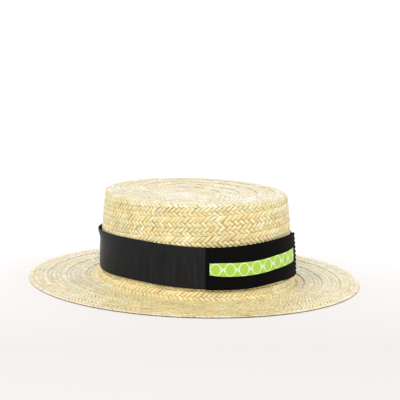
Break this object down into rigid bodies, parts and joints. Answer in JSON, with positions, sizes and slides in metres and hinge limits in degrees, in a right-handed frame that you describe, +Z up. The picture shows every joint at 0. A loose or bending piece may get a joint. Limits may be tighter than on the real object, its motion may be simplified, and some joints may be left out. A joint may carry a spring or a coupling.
{
  "type": "straw boater hat",
  "caption": "Stiff straw boater hat with a flat oval brim, a low flat-topped crown, a dark ribbon band and a black panel with a lime trellis trim strip, worn on the head.",
  "frame": {"origin": "the middle of the brim's outline, on the floor under it", "axes": "+Z is up through the crown. +Y runs along the hat's length, with -Y taken as the front. +X runs across it."},
  "size_m": [0.2992, 0.3452, 0.086],
  "materials": {
    "crown_straw": "plaited straw, satin",
    "brim_straw": "plaited straw, satin",
    "band_ribbon": "ribbed ribbon, low sheen",
    "panel_ribbon": "matte ribbon",
    "trim_ribbon": "woven ribbon with a white trellis"
  },
  "bodies": {
    "root": {"crown": "crown_straw", "brim": "brim_straw", "ribbon": "band_ribbon", "panel": "panel_ribbon", "trim_strip": "trim_ribbon"}
  },
  "joints": []
}
